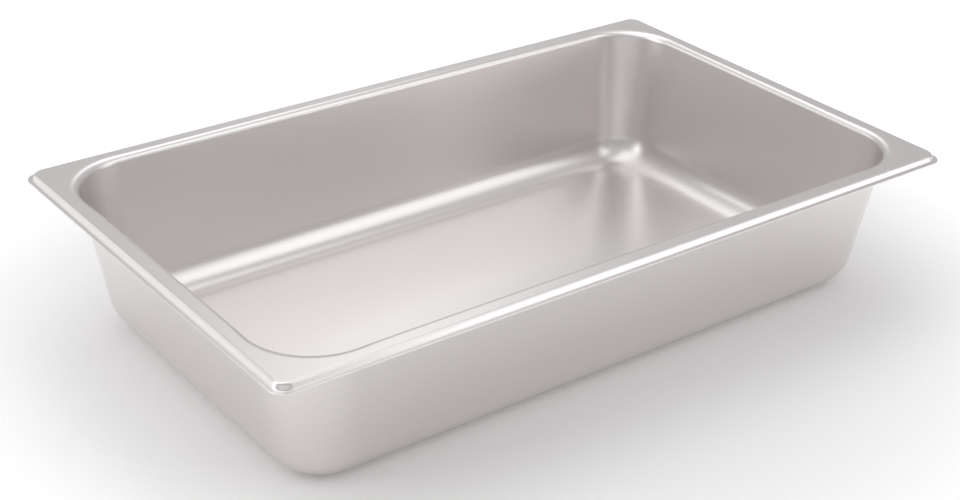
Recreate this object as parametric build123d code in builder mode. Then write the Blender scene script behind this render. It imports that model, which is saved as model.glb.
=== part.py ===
"""Full-size deli food pan: one pressing, deep-drawn from a single sheet of stainless steel.

The rim is a flat flange with a short step down to a narrow lip, which hangs on the edge of a
counter's cut-out. The walls lean inwards, so that empty pans nest, and a wide bend joins them
to the flat floor. +X runs along the length, +Y across the width and +Z up. The origin is under
the centre of the floor, on the surface that the pan stands on.
"""

from build123d import *
from math import cos, radians, tan
import os

# Overall size, over the lip, and the thickness of the sheet.
LENGTH = 527.0
WIDTH = 325.0
HEIGHT = 101.6
SHEET = 0.8

# Rim, on its top surface: the lip, the crease where the step rises from it, and the flange.
LIP_REACH = 3.1
LIP_CORNER_RADIUS = 10.3
LIP_EDGE_RADIUS = 0.35
STEP_RISE = 4.1
STEP_LEAN = radians(15.0)
CREASE_CORNER_RADIUS = 8.8
FLANGE_CORNER_RADIUS = 9.0

# Walls, on their outer surface. The two insets' planes are the flange's top, where the wall
# stands this far in from the lip's edge, and the standing surface, where the lean takes it.
WALL_INSET = 15.3
WALL_LEAN = radians(9.3)
WALL_TOP_CORNER_RADIUS = 43.7
WALL_FOOT_CORNER_RADIUS = 31.6

# Bends of the sheet, each given on the side where its radius is the smaller.
FLOOR_BEND = 21.5
MOUTH_BEND = 3.8
STEP_BEND = 1.1
CREASE_BEND = 1.1

LIP_TOP = HEIGHT - STEP_RISE


def outline(height, inset, corner):
    """Draws the pan's plan outline at a height, moved in from the lip's edge."""
    with BuildSketch(Plane.XY.offset(height)) as drawn:
        RectangleRounded(LENGTH - 2 * inset, WIDTH - 2 * inset, corner)
    return drawn.sketch


def step_outline(height, behind=0):
    """Draws the step's outline at a height, this far behind its outer surface."""
    rise = height - LIP_TOP
    inset = LIP_REACH + rise * tan(STEP_LEAN) + behind / cos(STEP_LEAN)
    growth = (FLANGE_CORNER_RADIUS - CREASE_CORNER_RADIUS) * rise / STEP_RISE
    return outline(height, inset, CREASE_CORNER_RADIUS + growth - behind)


def wall_outline(height, behind=0):
    """Draws the wall's outline at a height, this far behind its outer surface."""
    depth = HEIGHT - height
    inset = WALL_INSET + depth * tan(WALL_LEAN) + behind / cos(WALL_LEAN)
    loss = (WALL_TOP_CORNER_RADIUS - WALL_FOOT_CORNER_RADIUS) * depth / HEIGHT
    return outline(height, inset, WALL_TOP_CORNER_RADIUS - loss - behind)


with BuildPart() as pan:
    # The rim as a thin raised tray, solid across the middle.
    extrude(outline(LIP_TOP - SHEET, 0, LIP_CORNER_RADIUS), amount=SHEET)
    loft([step_outline(LIP_TOP), step_outline(HEIGHT)], ruled=True)
    rim_hollow = [step_outline(LIP_TOP - SHEET, SHEET), step_outline(HEIGHT - SHEET, SHEET)]
    loft(rim_hollow, ruled=True, mode=Mode.SUBTRACT)

    # The body as a block under it, hollowed to the sheet's thickness.
    loft([wall_outline(0), wall_outline(HEIGHT - SHEET)], ruled=True)
    inside = [wall_outline(SHEET, SHEET), wall_outline(HEIGHT, SHEET)]
    loft(inside, ruled=True, mode=Mode.SUBTRACT)

    # Every level face, from the lowest up. Each bend is rounded on both sides of the sheet,
    # the inside of the pan first, and the faces are found afresh as their edges move.
    def level_faces():
        return pan.faces().filter_by(Axis.Z).sort_by(Axis.Z)

    foot, floor, lip_underside, lip_top, flange_underside, flange_top = range(6)
    fillet(level_faces()[floor].edges(), FLOOR_BEND)
    fillet(level_faces()[foot].edges(), FLOOR_BEND + SHEET)
    fillet(level_faces()[flange_top].inner_wires()[0].edges(), MOUTH_BEND + SHEET)
    fillet(level_faces()[flange_underside].inner_wires()[0].edges(), MOUTH_BEND)
    fillet(level_faces()[flange_top].outer_wire().edges(), STEP_BEND + SHEET)
    fillet(level_faces()[flange_underside].outer_wire().edges(), STEP_BEND)
    fillet(level_faces()[lip_top].inner_wires()[0].edges(), CREASE_BEND)
    fillet(level_faces()[lip_underside].inner_wires()[0].edges(), CREASE_BEND + SHEET)
    fillet(level_faces()[lip_top].outer_wire().edges(), LIP_EDGE_RADIUS)
    fillet(level_faces()[lip_underside].outer_wire().edges(), LIP_EDGE_RADIUS)

pan.part.label = "pan"

os.makedirs("parts", exist_ok=True)
export_step(pan.part, "parts/pan.step")

print(f"sheet metal volume {pan.part.volume / 1000:.1f} cm3")
for face in level_faces():
    print(f"level face at z {face.center().Z:.2f} mm, {face.area / 100:.1f} cm2")
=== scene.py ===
from math import atan2, copysign, cos, pi, radians, sin, tan
from typing import NamedTuple

import bmesh
import bpy
from bpy.props import FloatProperty, FloatVectorProperty, PointerProperty
from mathutils import Matrix, Vector


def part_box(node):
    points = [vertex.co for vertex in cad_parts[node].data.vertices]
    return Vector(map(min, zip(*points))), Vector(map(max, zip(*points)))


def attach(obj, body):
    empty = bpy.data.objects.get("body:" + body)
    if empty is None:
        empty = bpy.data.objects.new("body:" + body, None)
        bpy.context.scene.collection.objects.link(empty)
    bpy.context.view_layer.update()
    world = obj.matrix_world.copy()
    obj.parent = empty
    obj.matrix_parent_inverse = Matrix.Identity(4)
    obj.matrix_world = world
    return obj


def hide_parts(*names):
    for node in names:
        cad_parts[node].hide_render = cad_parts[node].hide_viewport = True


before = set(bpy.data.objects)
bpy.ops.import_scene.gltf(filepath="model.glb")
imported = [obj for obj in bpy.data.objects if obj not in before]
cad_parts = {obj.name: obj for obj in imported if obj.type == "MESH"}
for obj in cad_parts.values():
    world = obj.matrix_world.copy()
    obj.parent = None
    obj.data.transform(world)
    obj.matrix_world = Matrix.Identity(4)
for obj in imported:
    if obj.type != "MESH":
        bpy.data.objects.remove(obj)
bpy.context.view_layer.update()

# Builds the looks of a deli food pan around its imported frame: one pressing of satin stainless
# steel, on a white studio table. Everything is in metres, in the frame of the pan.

PAN_LOW, PAN_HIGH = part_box("pan")

bl_info = {
    "name": "Deli food pan",
    "version": (1, 0, 0),
    "blender": (4, 5, 0),
    "location": "3D View > Sidebar > Food Pan",
    "description": "Presses a full-size steel food pan and sets it on a white studio table",
    "category": "Object",
}

MM = 0.001

# The table lies this much lower than the pan, so that their faces don't share a plane.
TABLE_GAP = 0.1 * MM

# Faces across each round: the lip's corners, and the bends in the order that they are made.
LIP_CORNER_FACES = 16
MOUTH_FACES = 14
FLOOR_FACES = 20
CREASE_FACES = 6
STEP_FACES = 8
LIP_EDGE_FACES = 3

# Edges that turn more sharply than this are rounded off, and flat faces rule the shading.
SHARP_EDGE = radians(60)
FLAT_FACE_WEIGHT = 100

# How often each unevenness repeats in a metre. The rolled lines are long along the pan.
LINE_REPEATS = (30, 2200, 2200)
CLOUD_REPEATS = 14.0
RIPPLE_REPEATS = 22.0
MOTTLE_REPEATS = 30.0

# How much of the ripple's height shows, and the table's least roughness and its spread.
RIPPLE_STRENGTH = 0.15
TABLE_ROUGHNESS = 0.6
TABLE_MOTTLE = 0.1

# Squares along each side of the table.
TABLE_SQUARES = 8


# ---------------------------------------------------------------------------------------------
# Sizes and colours


class PanShape(bpy.types.PropertyGroup):
    """Sizes of the pressing, on the surface that shows from above."""

    sheet: FloatProperty(
        name="Sheet", description="Thickness of the steel sheet",
        default=0.8 * MM, unit="LENGTH")
    lip_edge: FloatProperty(
        name="Lip edge", description="How far the cut edge of the lip is rounded off",
        default=0.3 * MM, unit="LENGTH")
    lip_reach: FloatProperty(
        name="Lip reach", description="How far the lip stands out from the foot of the step",
        default=2.7 * MM, unit="LENGTH")
    lip_corner: FloatProperty(
        name="Lip corner", description="Corner radius of the lip's edge in plan",
        default=10.3 * MM, unit="LENGTH")
    step_rise: FloatProperty(
        name="Step rise", description="Height of the flange above the lip",
        default=4.1 * MM, unit="LENGTH")
    step_lean: FloatProperty(
        name="Step lean", description="Lean of the step's face from upright",
        default=radians(18.5), subtype="ANGLE")
    step_bend: FloatProperty(
        name="Step bend", description="Radius of the bend from the flange down into the step",
        default=1.8 * MM, unit="LENGTH")
    crease_bend: FloatProperty(
        name="Crease bend", description="Radius of the bend from the step out into the lip",
        default=1.2 * MM, unit="LENGTH")
    crease_corner: FloatProperty(
        name="Crease corner", description="Corner radius of the foot of the step in plan",
        default=8.8 * MM, unit="LENGTH")
    flange_corner: FloatProperty(
        name="Flange corner", description="Corner radius of the flange's outer edge in plan",
        default=8.0 * MM, unit="LENGTH")
    wall_inset: FloatProperty(
        name="Wall inset", description="Distance from the lip's edge to the wall at flange level",
        default=16.11 * MM, unit="LENGTH")
    wall_lean: FloatProperty(
        name="Wall lean", description="Lean of the walls from upright",
        default=radians(9.3), subtype="ANGLE")
    mouth_bend: FloatProperty(
        name="Mouth bend", description="Radius of the bend from the flange into the walls",
        default=4.6 * MM, unit="LENGTH")
    mouth_corner_reach: FloatProperty(
        name="Mouth corner reach", description="Width that the mouth bend gains in its corners",
        default=2.6 * MM, unit="LENGTH")
    floor_corner_rise: FloatProperty(
        name="Floor corner rise", description="Height that the floor bend gains in its corners",
        default=1.5 * MM, unit="LENGTH")
    corner_run: FloatProperty(
        name="Corner run", description="How far the wider bends fade out beyond each corner",
        default=26.0 * MM, unit="LENGTH")
    wall_corner_top: FloatProperty(
        name="Upper wall corner", description="Corner radius inside the walls at flange level",
        default=44.0 * MM, unit="LENGTH")
    wall_corner_foot: FloatProperty(
        name="Lower wall corner", description="Corner radius inside the walls at floor level",
        default=30.9 * MM, unit="LENGTH")
    floor_bend: FloatProperty(
        name="Floor bend", description="Radius of the bend from the walls into the floor",
        default=21.5 * MM, unit="LENGTH")


class SteelFinish(bpy.types.PropertyGroup):
    """Colour and polish of the steel."""

    tint: FloatVectorProperty(
        name="Tint", description="Colour that the steel reflects",
        default=(0.772, 0.74, 0.733), size=3, min=0, max=1, subtype="COLOR")
    roughness: FloatProperty(
        name="Roughness", description="How widely the satin surface spreads a reflection",
        default=0.3, min=0, max=1, subtype="FACTOR")
    line_contrast: FloatProperty(
        name="Line contrast", description="How much the rolling lines change the roughness",
        default=0.02, min=0, max=1, subtype="FACTOR")
    cloud_contrast: FloatProperty(
        name="Cloud contrast", description="How much the polish varies from place to place",
        default=0.04, min=0, max=1, subtype="FACTOR")
    ripple_depth: FloatProperty(
        name="Ripple depth", description="Height of the slow ripple that pressing leaves",
        default=0.2 * MM, unit="LENGTH")


class Studio(bpy.types.PropertyGroup):
    """Camera, table and the even light of the room."""

    room_light: FloatProperty(
        name="Room light", description="Light that comes evenly from all round",
        default=0.475, min=0)
    ceiling_light: FloatProperty(
        name="Ceiling light", description="Extra light from the brightest part of the ceiling",
        default=0.19, min=0)
    ceiling_azimuth: FloatProperty(
        name="Ceiling azimuth", description="Turn of the ceiling's brightest part round the pan",
        default=radians(158), subtype="ANGLE")
    ceiling_elevation: FloatProperty(
        name="Ceiling elevation", description="Height of the ceiling's brightest part",
        default=radians(70), subtype="ANGLE")
    table_size: FloatProperty(
        name="Table size", description="Length of each side of the table",
        default=8.0, unit="LENGTH")
    table_colour: FloatVectorProperty(
        name="Table colour", description="Colour of the matt table top",
        default=(0.87, 0.86, 0.855), size=3, min=0, max=1, subtype="COLOR")
    # Painted glow: the table top emits light though it is no lamp. The glow is weak under and near
    # the pan, so a soft painted shade pools there, and strong further out, so the far table reads
    # white.
    painted_glow_near: FloatProperty(
        name="Table glow", description="Light that comes up through the table under the pan",
        default=0.07, min=0)
    painted_glow_far: FloatProperty(
        name="Far table glow", description="Light that comes up through the table round the pan",
        default=0.36, min=0)
    painted_glow_start: FloatProperty(
        name="Glow start", description="Distance from the pan's middle where the glow grows",
        default=0.22, unit="LENGTH")
    painted_glow_end: FloatProperty(
        name="Glow end", description="Distance from the pan's middle where the glow is full",
        default=0.5, unit="LENGTH")
    softbox_colour: FloatVectorProperty(
        name="Softbox colour", description="Colour of every softbox",
        default=(0.965, 0.985, 1.0), size=3, min=0, max=1, subtype="COLOR")
    softbox_distance: FloatProperty(
        name="Softbox distance", description="Distance from the middle of the table to each light",
        default=3.0, unit="LENGTH")
    azimuth: FloatProperty(
        name="Azimuth", description="Turn of the camera round the pan",
        default=radians(-37.38), subtype="ANGLE")
    elevation: FloatProperty(
        name="Elevation", description="Height of the camera's line above the table",
        default=radians(28.30), subtype="ANGLE")
    roll: FloatProperty(
        name="Roll", description="Tilt of the camera about its line of sight",
        default=radians(1.41), subtype="ANGLE")
    distance: FloatProperty(
        name="Distance", description="Distance from the camera to its aim",
        default=1.262, unit="LENGTH")
    aim: FloatVectorProperty(
        name="Aim", description="Point on the table that the camera is aimed at",
        default=(0.0302, 0.0414, 0.0), size=3, subtype="TRANSLATION")
    lens: FloatProperty(
        name="Lens", description="Focal length of the lens, in millimetres",
        default=65.6, min=1, subtype="DISTANCE_CAMERA")
    shift: FloatVectorProperty(
        name="Shift", description="Shift of the lens across and up, in picture widths",
        default=(-0.0104, 0.0104), size=2)


class Softbox(NamedTuple):
    """A flat light that faces the pan: its direction and size in degrees, and its brightness."""

    azimuth: float
    elevation: float
    width: float
    height: float
    brightness: float


SOFTBOXES = {
    "front_light": Softbox(38, 43, 31, 42, 0.9),
    "low_front_light": Softbox(38, 6, 24, 11, 2.5),
    "camera_side_light": Softbox(-42, 8, 60, 14, 0.5),
    "left_light": Softbox(252, 24, 24, 48, 1.6),
    "small_back_light": Softbox(214, 25, 22, 22, 0.9),
    "narrow_top_light": Softbox(147, 50, 12, 38, 0.88),
    "wide_top_light": Softbox(203, 73, 63, 43, 0.72),
}


# ---------------------------------------------------------------------------------------------
# Shared tools for meshes


def direction(azimuth, elevation):
    """The unit vector towards a place round the pan: azimuth 0 is in front, 90 degrees right."""
    level = cos(elevation)
    return Vector((sin(azimuth) * level, -cos(azimuth) * level, sin(elevation)))


def stand(facing, place):
    """The matrix of a light or a camera at this place, with its back in this direction."""
    return Matrix.Translation(place) @ facing.to_track_quat("Z", "Y").to_matrix().to_4x4()


def link_piece(bm, name):
    """Turns a finished bmesh into an object at the origin with smooth faces."""
    mesh = bpy.data.meshes.new(name)
    for face in bm.faces:
        face.smooth = True
    bm.to_mesh(mesh)
    bm.free()
    piece = bpy.data.objects.new(name, mesh)
    bpy.context.scene.collection.objects.link(piece)
    return piece


def outline(inset, corner, height):
    """Returns where each spot lies on a rounded rectangle, moved in from the pan's outline."""
    middle = Vector((PAN_HIGH.x - inset - corner, PAN_HIGH.y - inset - corner, height))
    return lambda spot: middle + spot.outward * corner - spot.run


def bend_point(sharp, before, after, turn, share):
    """A point on the round bend that replaces a sharp turn between two lengths of sheet."""
    pulls = (1 - share) ** 2, 2 * cos(turn / 2) * share * (1 - share), share ** 2
    return sharp + (before * pulls[0] + after * pulls[2]) / sum(pulls)


class Spot(NamedTuple):
    """A place along the pan's outline, seen in the quarter where x and y are positive."""

    quarter: Vector
    outward: Vector
    run: Vector
    cornering: float


class Sheet:
    """A sheet that grows inwards from the pan's outline, one ring of edges after another."""

    # Cuts across each straight side: two go to either end, half of the corner run apart.
    CUTS = 4

    def __init__(self, shape, height):
        """Starts with a rounded rectangle of edges as large as the pan."""
        self.bm = bmesh.new()
        grid = bmesh.ops.create_grid(self.bm, x_segments=1, y_segments=1, size=1)
        bmesh.ops.scale(self.bm, vec=(PAN_HIGH.x, PAN_HIGH.y, 1), verts=grid["verts"])
        bmesh.ops.translate(self.bm, vec=(0, 0, height), verts=grid["verts"])
        bmesh.ops.bevel(
            self.bm, geom=grid["verts"], offset=shape.lip_corner, offset_type="OFFSET",
            segments=LIP_CORNER_FACES, profile=0.5, affect="VERTICES", material=-1)
        sides = sorted(self.bm.edges, key=lambda edge: edge.calc_length())[-4:]
        bmesh.ops.subdivide_edges(self.bm, edges=sides, cuts=self.CUTS)
        bmesh.ops.delete(self.bm, geom=list(self.bm.faces), context="FACES_ONLY")
        self.ring = list(self.bm.edges)
        self.spots = {vert: self.find_spot(vert.co, shape) for vert in self.bm.verts}

    def find_spot(self, point, shape):
        """Works out the spot of a point on the first ring."""
        middle = Vector((PAN_HIGH.x, PAN_HIGH.y)) - Vector((shape.lip_corner, shape.lip_corner))
        away = Vector((abs(point.x), abs(point.y)))
        outward = Vector([max(a - b, 0) for a, b in zip(away, middle)]).normalized()
        cuts = [max(1 - a / b, 0) * (self.CUTS + 1) / 2 for a, b in zip(away, middle)]
        run = Vector(cuts) * shape.corner_run / 2
        angle = abs(atan2(outward.y, outward.x) - pi / 4)
        along = angle * shape.wall_corner_top + run.length
        share = min(along / (pi / 4 * shape.wall_corner_top + shape.corner_run), 1)
        quarter = Vector((copysign(1, point.x), copysign(1, point.y), 1))
        return Spot(quarter, outward.to_3d(), run.to_3d(), cos(share * pi / 2) ** 2)

    def grow(self, place):
        """Adds the next ring, with each of its spots in the place that the function gives."""
        grown = bmesh.ops.extrude_edge_only(self.bm, edges=self.ring)["geom"]
        old_spots, self.spots = self.spots, {}
        for vert in (part for part in grown if isinstance(part, bmesh.types.BMVert)):
            ends = [edge.other_vert(vert) for edge in vert.link_edges]
            spot = next(old_spots[end] for end in ends if end in old_spots)
            self.spots[vert] = spot
            vert.co = place(spot) * spot.quarter
        self.ring = [
            part for part in grown if isinstance(part, bmesh.types.BMEdge)
            and all(vert in self.spots for vert in part.verts)]
        return self.ring


def round_bend(bm, ring, radius, turn, segments):
    """Rounds the sharp bend that follows a ring of edges, where the sheet turns by this angle."""
    bmesh.ops.bevel(
        bm, geom=ring, offset=radius * tan(turn / 2), offset_type="OFFSET", segments=segments,
        profile=0.5, affect="EDGES", material=-1, clamp_overlap=False)


# ---------------------------------------------------------------------------------------------
# Shared tools for materials


class Wire:
    """A node's output socket that can be used in a Python sum."""

    def __init__(self, tree, socket):
        self.tree = tree
        self.socket = socket

    def math(self, operation, *values):
        return self.tree.add("ShaderNodeMath", {"operation": operation}, *values)

    def __add__(self, other):
        return self.math("ADD", self, other)

    def __radd__(self, other):
        return self.math("ADD", other, self)

    def __sub__(self, other):
        return self.math("SUBTRACT", self, other)

    def __rsub__(self, other):
        return self.math("SUBTRACT", other, self)

    def __mul__(self, other):
        return self.math("MULTIPLY", self, other)

    def __rmul__(self, other):
        return self.math("MULTIPLY", other, self)


class Shader:
    """The nodes of a new material or world and the one way that nodes are added to them."""

    def __init__(self, owner, surface="Principled BSDF"):
        self.owner = owner
        self.owner.use_nodes = True
        self.tree = self.owner.node_tree
        self.surface = self.tree.nodes[surface]

    def add(self, kind, settings=None, *values, output=0, **named):
        """Adds a node: its settings first, then the values or links of its inputs."""
        node = self.tree.nodes.new(kind)
        for setting, value in (settings or {}).items():
            setattr(node, setting, value)
        for socket, value in [*zip(node.inputs, values), *self.pairs(node, named)]:
            self.feed(socket, value)
        return Wire(self, node.outputs[output])

    def pairs(self, node, named):
        return [(node.inputs[key.replace("_", " ")], value) for key, value in named.items()]

    def feed(self, socket, value):
        if isinstance(value, Wire):
            self.tree.links.new(value.socket, socket)
        else:
            socket.default_value = value

    def finish(self, **values):
        """Sets the surface's own sockets and returns the material or world."""
        for socket, value in self.pairs(self.surface, values):
            self.feed(socket, value)
        return self.owner


# ---------------------------------------------------------------------------------------------
# Finishes


def satin_steel(finish):
    """Bright satin stainless steel with the fine lines of rolled sheet."""
    shader = Shader(bpy.data.materials.new("satin_stainless_steel"))
    place = shader.add("ShaderNodeTexCoord", output="Object")
    rolled = shader.add(
        "ShaderNodeVectorMath", {"operation": "MULTIPLY"}, place, LINE_REPEATS)
    lines = shader.add("ShaderNodeTexNoise", Vector=rolled, Scale=1.0, Detail=2.0)
    cloud = shader.add("ShaderNodeTexNoise", Vector=place, Scale=CLOUD_REPEATS, Detail=3.0)
    ripple = shader.add("ShaderNodeTexNoise", Vector=place, Scale=RIPPLE_REPEATS, Detail=0.0)
    uneven = finish.line_contrast * (lines - 0.5) + finish.cloud_contrast * (cloud - 0.5)
    return shader.finish(
        Base_Color=(*finish.tint, 1), Metallic=1.0, Roughness=finish.roughness + uneven,
        Normal=shader.add(
            "ShaderNodeBump", Strength=RIPPLE_STRENGTH, Distance=finish.ripple_depth,
            Height=ripple))


def white_table(studio):
    """Matt white table top with a painted glow: weak near the pan, so a soft painted shade pools
    round it, and brighter away from the pan.
    """
    shader = Shader(bpy.data.materials.new("white_table"))
    place = shader.add("ShaderNodeTexCoord", output="Object")
    mottle = shader.add("ShaderNodeTexNoise", Vector=place, Scale=MOTTLE_REPEATS, Detail=4.0)
    away = shader.add("ShaderNodeVectorMath", {"operation": "LENGTH"}, place, output="Value")
    # Painted glow and shade: the emission grows with distance from the pan's middle.
    glow = shader.add(
        "ShaderNodeMapRange", {"interpolation_type": "SMOOTHSTEP"}, away, studio.painted_glow_start,
        studio.painted_glow_end, studio.painted_glow_near, studio.painted_glow_far)
    return shader.finish(
        Base_Color=(*studio.table_colour, 1), Roughness=TABLE_ROUGHNESS + TABLE_MOTTLE * mottle,
        Specular_IOR_Level=0.0, Emission_Color=glow, Emission_Strength=1.0)


def studio_room(studio):
    """Even light from all round, with a ceiling that is brightest over one side."""
    shader = Shader(bpy.data.worlds.new("studio_room"), "Background")
    brightest = direction(studio.ceiling_azimuth, studio.ceiling_elevation)
    sight = shader.add("ShaderNodeTexCoord", output="Generated")
    facing = shader.add(
        "ShaderNodeVectorMath", {"operation": "DOT_PRODUCT"}, sight, brightest, output="Value")
    glow = facing.math("MAXIMUM", facing, 0.0)
    return shader.finish(
        Color=(1, 1, 1, 1), Strength=studio.room_light + studio.ceiling_light * glow)


# ---------------------------------------------------------------------------------------------
# Pieces


class FOODPAN_OT_press_pan(bpy.types.Operator):
    """Presses the pan from one sheet"""

    bl_idname = "food_pan.press_pan"
    bl_label = "Press Pan"

    def execute(self, context):
        shape = context.scene.pan_shape
        top = PAN_HIGH.z
        lip_top = top - shape.step_rise
        floor_top = PAN_LOW.z + shape.sheet
        flange_inset = shape.lip_reach + shape.step_rise * tan(shape.step_lean)
        step_turn = pi / 2 - shape.step_lean
        wall_turn = pi / 2 - shape.wall_lean
        floor_inset = shape.wall_inset + (top - floor_top) * tan(shape.wall_lean)

        sheet = Sheet(shape, lip_top)
        crease = sheet.grow(outline(shape.lip_reach, shape.crease_corner, lip_top))
        step = sheet.grow(outline(flange_inset, shape.flange_corner, top))
        brink = outline(shape.wall_inset, shape.wall_corner_top, top)
        foot = outline(floor_inset, shape.wall_corner_foot, floor_top)
        mouth_length = shape.mouth_bend * tan(wall_turn / 2)
        floor_length = shape.floor_bend * tan(wall_turn / 2)

        def mouth(spot, share):
            down = (foot(spot) - brink(spot)).normalized()
            reach = mouth_length + shape.mouth_corner_reach * spot.cornering
            return bend_point(
                brink(spot), spot.outward * reach, down * mouth_length, wall_turn, share)

        def floor(spot, share):
            up = (brink(spot) - foot(spot)).normalized()
            rise = floor_length + shape.floor_corner_rise * spot.cornering
            return bend_point(
                foot(spot), up * rise, spot.outward * -floor_length, wall_turn, share)

        for bend, faces in ((mouth, MOUTH_FACES), (floor, FLOOR_FACES)):
            for index in range(faces + 1):
                sheet.grow(lambda spot: bend(spot, index / faces))
        bm = sheet.bm
        bmesh.ops.contextual_create(bm, geom=sheet.ring)
        round_bend(bm, crease, shape.crease_bend, step_turn, CREASE_FACES)
        round_bend(bm, step, shape.step_bend, step_turn, STEP_FACES)
        bmesh.ops.recalc_face_normals(bm, faces=bm.faces)
        if max(bm.faces, key=lambda face: face.calc_area()).normal.z < 0:
            bmesh.ops.reverse_faces(bm, faces=bm.faces)

        pan = link_piece(bm, "food_pan")
        wall = pan.modifiers.new("sheet", "SOLIDIFY")
        wall.thickness = shape.sheet
        wall.offset = -1
        wall.use_even_offset = True
        wall.use_quality_normals = True
        edge = pan.modifiers.new("lip_edge", "BEVEL")
        edge.width = shape.lip_edge
        edge.segments = LIP_EDGE_FACES
        edge.limit_method = "ANGLE"
        edge.angle_limit = SHARP_EDGE
        flat = pan.modifiers.new("flat_faces", "WEIGHTED_NORMAL")
        flat.weight = FLAT_FACE_WEIGHT
        pan.data.materials.append(satin_steel(context.scene.steel_finish))
        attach(pan, "root")
        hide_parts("pan")
        return {"FINISHED"}


class FOODPAN_OT_set_stage(bpy.types.Operator):
    """Lays the table and sets the lights and the camera"""

    bl_idname = "food_pan.set_stage"
    bl_label = "Set Stage"

    def execute(self, context):
        scene = context.scene
        studio = scene.studio

        bm = bmesh.new()
        bmesh.ops.create_grid(
            bm, x_segments=TABLE_SQUARES, y_segments=TABLE_SQUARES, size=studio.table_size / 2)
        bmesh.ops.translate(bm, vec=(0, 0, PAN_LOW.z - TABLE_GAP), verts=bm.verts)
        table = link_piece(bm, "table")
        table.data.materials.append(white_table(studio))
        scene.world = studio_room(studio)

        for name, softbox in SOFTBOXES.items():
            towards = direction(radians(softbox.azimuth), radians(softbox.elevation))
            light = bpy.data.lights.new(name, "AREA")
            light.shape = "RECTANGLE"
            light.size = 2 * studio.softbox_distance * tan(radians(softbox.width / 2))
            light.size_y = 2 * studio.softbox_distance * tan(radians(softbox.height / 2))
            light.color = studio.softbox_colour
            light.energy = softbox.brightness * pi * light.size * light.size_y
            lamp = bpy.data.objects.new(name, light)
            lamp.matrix_world = stand(towards, towards * studio.softbox_distance)
            scene.collection.objects.link(lamp)

        back = direction(studio.azimuth, studio.elevation)
        camera = bpy.data.objects.new("camera", bpy.data.cameras.new("camera"))
        camera.data.lens = studio.lens
        camera.data.shift_x, camera.data.shift_y = studio.shift
        roll = Matrix.Rotation(studio.roll, 4, "Z")
        camera.matrix_world = stand(back, Vector(studio.aim) + back * studio.distance) @ roll
        scene.collection.objects.link(camera)
        scene.camera = camera
        scene.view_settings.view_transform = "Standard"
        return {"FINISHED"}


class FOODPAN_PT_sidebar(bpy.types.Panel):
    """Lists the steps in order"""

    bl_idname = "FOODPAN_PT_sidebar"
    bl_label = "Deli Food Pan"
    bl_space_type = "VIEW_3D"
    bl_region_type = "UI"
    bl_category = "Food Pan"

    def draw(self, context):
        for step in STEPS:
            self.layout.operator(step.bl_idname)


GROUPS = {"pan_shape": PanShape, "steel_finish": SteelFinish, "studio": Studio}
STEPS = (FOODPAN_OT_press_pan, FOODPAN_OT_set_stage)
CLASSES = (*GROUPS.values(), *STEPS, FOODPAN_PT_sidebar)


def register():
    for each in CLASSES:
        bpy.utils.register_class(each)
    for name, group in GROUPS.items():
        setattr(bpy.types.Scene, name, PointerProperty(type=group))


def unregister():
    for name in GROUPS:
        delattr(bpy.types.Scene, name)
    for each in reversed(CLASSES):
        bpy.utils.unregister_class(each)


def main():
    """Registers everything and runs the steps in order."""
    register()
    bpy.ops.food_pan.press_pan()
    bpy.ops.food_pan.set_stage()


if __name__ == "__main__":
    main()
